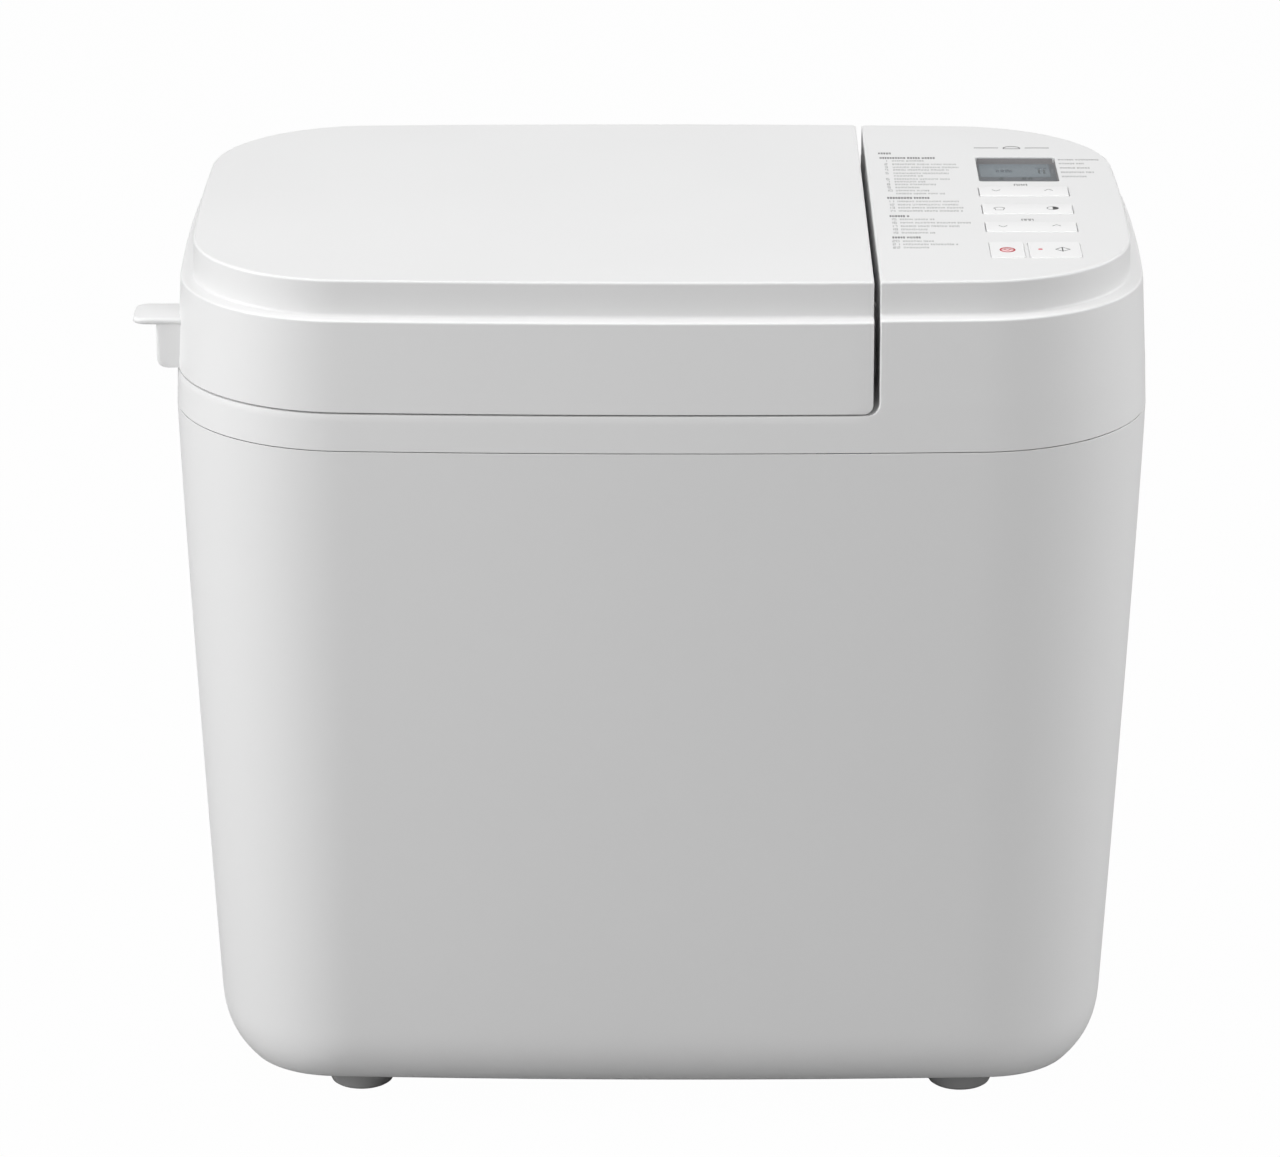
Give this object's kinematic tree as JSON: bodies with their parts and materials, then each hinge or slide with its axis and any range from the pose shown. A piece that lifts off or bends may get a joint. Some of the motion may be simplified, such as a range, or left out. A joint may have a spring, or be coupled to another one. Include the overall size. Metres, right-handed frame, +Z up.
{
  "type": "bread machine",
  "caption": "Bread machine with a tapering moulded casing, a lid hinged beside a fixed control housing, a lift-out pan with kneading blade, and a belt drive.",
  "frame": {"origin": "on the table, under the middle of the whole object, side tab included", "axes": "+X to the right, from the lid's tab to the control housing; +Y to the back; +Z up"},
  "size_m": [0.4084, 0.252, 0.3603],
  "materials": {
    "casing_white": "satin",
    "lid_white": "satin",
    "key_white": "satin",
    "base_grey": "textured",
    "foot_rubber": "matte",
    "belt_rubber": "matte",
    "seal_silicone": "matte",
    "window_clear": "gloss",
    "display_panel": "satin",
    "lamp_red": "gloss",
    "chamber_steel": "satin",
    "liner_aluminium": "satin",
    "pan_coating": "satin",
    "blade_coating": "satin",
    "wire_steel": "polished",
    "shaft_steel": "ground",
    "heater_steel": "matte",
    "ceramic": "satin",
    "bronze": "satin",
    "pulley_aluminium": "cast",
    "motor_steel": "satin",
    "zinc_steel": "plated",
    "board_green": "satin",
    "component_black": "moulded",
    "capacitor_blue": "sleeved",
    "carrier_grey": "moulded",
    "gland_black": "matte"
  },
  "bodies": {
    "root": {"body_shell": "casing_white", "top_frame": "casing_white", "base_plate": "base_grey", "foot_front_left": "foot_rubber", "foot_front_right": "foot_rubber", "foot_rear_left": "foot_rubber", "foot_rear_right": "foot_rubber", "chassis_plate": "zinc_steel", "baking_chamber": "chamber_steel", "heater_element": "heater_steel", "heater_bushings": "ceramic", "temperature_sensor": "shaft_steel", "pan_seat": "chamber_steel", "seat_clips": "wire_steel", "drive_housing": "pulley_aluminium", "drive_bushes": "bronze", "motor_body": "motor_steel", "drive_belt": "belt_rubber", "heat_shield": "zinc_steel", "power_board": "board_green", "transformer": "motor_steel", "relays": "component_black", "capacitors": "capacitor_blue", "control_board": "board_green", "tact_switches": "component_black", "key_carrier": "carrier_grey", "start_lamp": "lamp_red", "display_module": "display_panel", "display_window": "window_clear", "cord_bushing": "gland_black", "base_screws": "zinc_steel", "chassis_screws": "zinc_steel", "chamber_screws": "zinc_steel", "panel_screws": "zinc_steel"},
    "lid": {"lid_cover": "lid_white", "lid_liner": "liner_aluminium", "lid_gasket": "seal_silicone", "lid_handle": "lid_white", "steam_grille": "lid_white", "hinge_pins": "shaft_steel", "lid_screws": "zinc_steel"},
    "pan": {"bread_pan": "pan_coating", "pan_base_ring": "pulley_aluminium", "pan_bush": "bronze", "pan_seal": "seal_silicone"},
    "bail": {"pan_handle": "wire_steel"},
    "spindle": {"pan_shaft": "shaft_steel", "pan_coupling": "pulley_aluminium"},
    "blade": {"kneading_blade": "blade_coating"},
    "drive": {"drive_shaft": "shaft_steel", "drive_pulley": "pulley_aluminium", "drive_coupling": "pulley_aluminium", "drive_clip": "wire_steel"},
    "rotor": {"motor_shaft": "shaft_steel", "motor_pulley": "pulley_aluminium"},
    "menu_rocker": {"rocker_menu": "key_white"},
    "size_rocker": {"rocker_size": "key_white"},
    "timer_rocker": {"rocker_timer": "key_white"},
    "stop_button": {"stop_key": "key_white"},
    "start_button": {"start_key": "key_white"}
  },
  "joints": [
    {"name": "lid_hinge", "type": "hinge", "parent": "root", "child": "lid", "pos_m": [0.08275, 0, 0.354], "axis": [0, 1, 0], "range_deg": [0, 95]},
    {"name": "pan_lift", "type": "slide", "parent": "root", "child": "pan", "axis": [0, 0, 1], "range_m": [0, 0.075]},
    {"name": "bail_swing", "type": "hinge", "parent": "pan", "child": "bail", "pos_m": [-0.05625, 0, 0.249], "axis": [1, 0, 0], "range_deg": [0, 180]},
    {"name": "blade_spin", "type": "hinge", "parent": "pan", "child": "spindle", "pos_m": [-0.05625, 0, 0.12], "axis": [0, 0, 1], "continuous": true},
    {"name": "blade_lift", "type": "slide", "parent": "spindle", "child": "blade", "axis": [0, 0, 1], "range_m": [0, 0.045]},
    {"name": "drive_spin", "type": "hinge", "parent": "root", "child": "drive", "pos_m": [-0.05625, 0, 0.07], "axis": [0, 0, 1], "continuous": true},
    {"name": "motor_spin", "type": "hinge", "parent": "root", "child": "rotor", "pos_m": [0.13275, 0, 0.07], "axis": [0, 0, 1], "continuous": true},
    {"name": "menu_rock", "type": "hinge", "parent": "root", "child": "menu_rocker", "pos_m": [0.1565, 0.0125, 0.3537], "axis": [0, 1, 0], "range_deg": [-1.2, 1.2], "stiffness_Nm_per_rad": 0.8},
    {"name": "size_rock", "type": "hinge", "parent": "root", "child": "size_rocker", "pos_m": [0.1565, -0.0136, 0.3537], "axis": [0, 1, 0], "range_deg": [-1.2, 1.2], "stiffness_Nm_per_rad": 0.8},
    {"name": "timer_rock", "type": "hinge", "parent": "root", "child": "timer_rocker", "pos_m": [0.1565, -0.0398, 0.3537], "axis": [0, 1, 0], "range_deg": [-1.2, 1.2], "stiffness_Nm_per_rad": 0.8},
    {"name": "stop_press", "type": "slide", "parent": "root", "child": "stop_button", "axis": [0, 0, -1], "range_m": [0, 0.0006], "stiffness_N_per_m": 2000, "springref_m": -0.0002},
    {"name": "start_press", "type": "slide", "parent": "root", "child": "start_button", "axis": [0, 0, -1], "range_m": [0, 0.0006], "stiffness_N_per_m": 2000, "springref_m": -0.0002}
  ],
  "couplings": [
    {"joint": "blade_spin", "follows": "drive_spin", "ratio": 1},
    {"joint": "motor_spin", "follows": "drive_spin", "ratio": 5.25}
  ]
}
